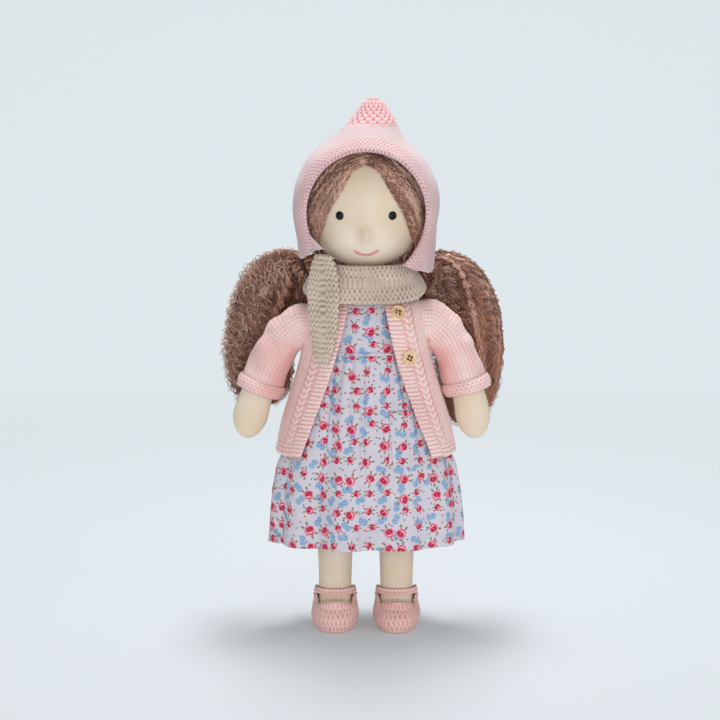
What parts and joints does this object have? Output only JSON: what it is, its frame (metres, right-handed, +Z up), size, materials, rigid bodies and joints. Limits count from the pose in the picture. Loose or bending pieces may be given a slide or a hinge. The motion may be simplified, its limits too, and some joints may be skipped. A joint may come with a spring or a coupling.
{
  "type": "plush doll",
  "caption": "Standing soft cloth doll with curly ponytails, knitted bonnet, scarf and cardigan, floral dress and bar shoes; its head turns and its arms and legs swing.",
  "frame": {"origin": "on the surface that the doll stands on, under the middle of its box, hair and clothes included", "axes": "+Z up, -Y the way the face looks, +X towards the doll's own left"},
  "size_m": [0.1869, 0.0902, 0.357],
  "materials": {
    "skin_jersey": "cream cotton jersey over wool stuffing",
    "curly_hair": "curly mohair, brown with lighter strands",
    "hair_elastic": "thread-covered elastic",
    "pink_knit": "soft knitted wool",
    "oat_knit": "garter-stitch wool",
    "floral_cotton": "printed cotton with small flowers",
    "white_cotton": "plain cotton",
    "button_wood": "pale turned wood",
    "black_bead": "black, low sheen",
    "mouth_thread": "pink embroidery thread",
    "shoe_crochet": "crocheted wool"
  },
  "bodies": {
    "torso": {"torso": "skin_jersey", "dress_bodice": "floral_cotton", "dress_skirt_back": "floral_cotton", "dress_skirt_front": "floral_cotton", "dress_pocket": "floral_cotton", "underpants": "white_cotton", "cardigan_back": "pink_knit", "cardigan_left_front": "pink_knit", "cardigan_right_front": "pink_knit", "upper_button": "button_wood", "lower_button": "button_wood", "scarf": "oat_knit"},
    "head": {"head": "skin_jersey", "left_eye": "black_bead", "right_eye": "black_bead", "mouth_thread": "mouth_thread", "wig": "curly_hair", "left_ponytail": "curly_hair", "right_ponytail": "curly_hair", "left_hair_tie": "hair_elastic", "right_hair_tie": "hair_elastic", "bonnet": "pink_knit"},
    "left_arm": {"left_arm": "skin_jersey", "left_sleeve": "pink_knit"},
    "right_arm": {"right_arm": "skin_jersey", "right_sleeve": "pink_knit"},
    "left_leg": {"left_leg": "skin_jersey", "left_shoe": "shoe_crochet", "left_shoe_strap": "shoe_crochet"},
    "right_leg": {"right_leg": "skin_jersey", "right_shoe": "shoe_crochet", "right_shoe_strap": "shoe_crochet"}
  },
  "joints": [
    {"name": "head_turn", "type": "hinge", "parent": "torso", "child": "head", "pos_m": [0, -0.004, 0.24], "axis": [0, 0, 1], "range_deg": [-20, 20], "deforming": ["left_ponytail", "right_ponytail"]},
    {"name": "left_shoulder", "type": "hinge", "parent": "torso", "child": "left_arm", "pos_m": [0.036, -0.004, 0.2095], "axis": [-1, 0, 0], "range_deg": [0, 120]},
    {"name": "right_shoulder", "type": "hinge", "parent": "torso", "child": "right_arm", "pos_m": [-0.036, -0.004, 0.2065], "axis": [-1, 0, 0], "range_deg": [0, 120]},
    {"name": "left_hip", "type": "hinge", "parent": "torso", "child": "left_leg", "pos_m": [0.021, -0.004, 0.128], "axis": [-1, 0, 0], "range_deg": [-10, 85], "deforming": ["dress_skirt_front", "dress_pocket"]},
    {"name": "right_hip", "type": "hinge", "parent": "torso", "child": "right_leg", "pos_m": [-0.021, -0.004, 0.128], "axis": [-1, 0, 0], "range_deg": [-10, 85], "deforming": ["dress_skirt_front", "dress_pocket"]}
  ]
}
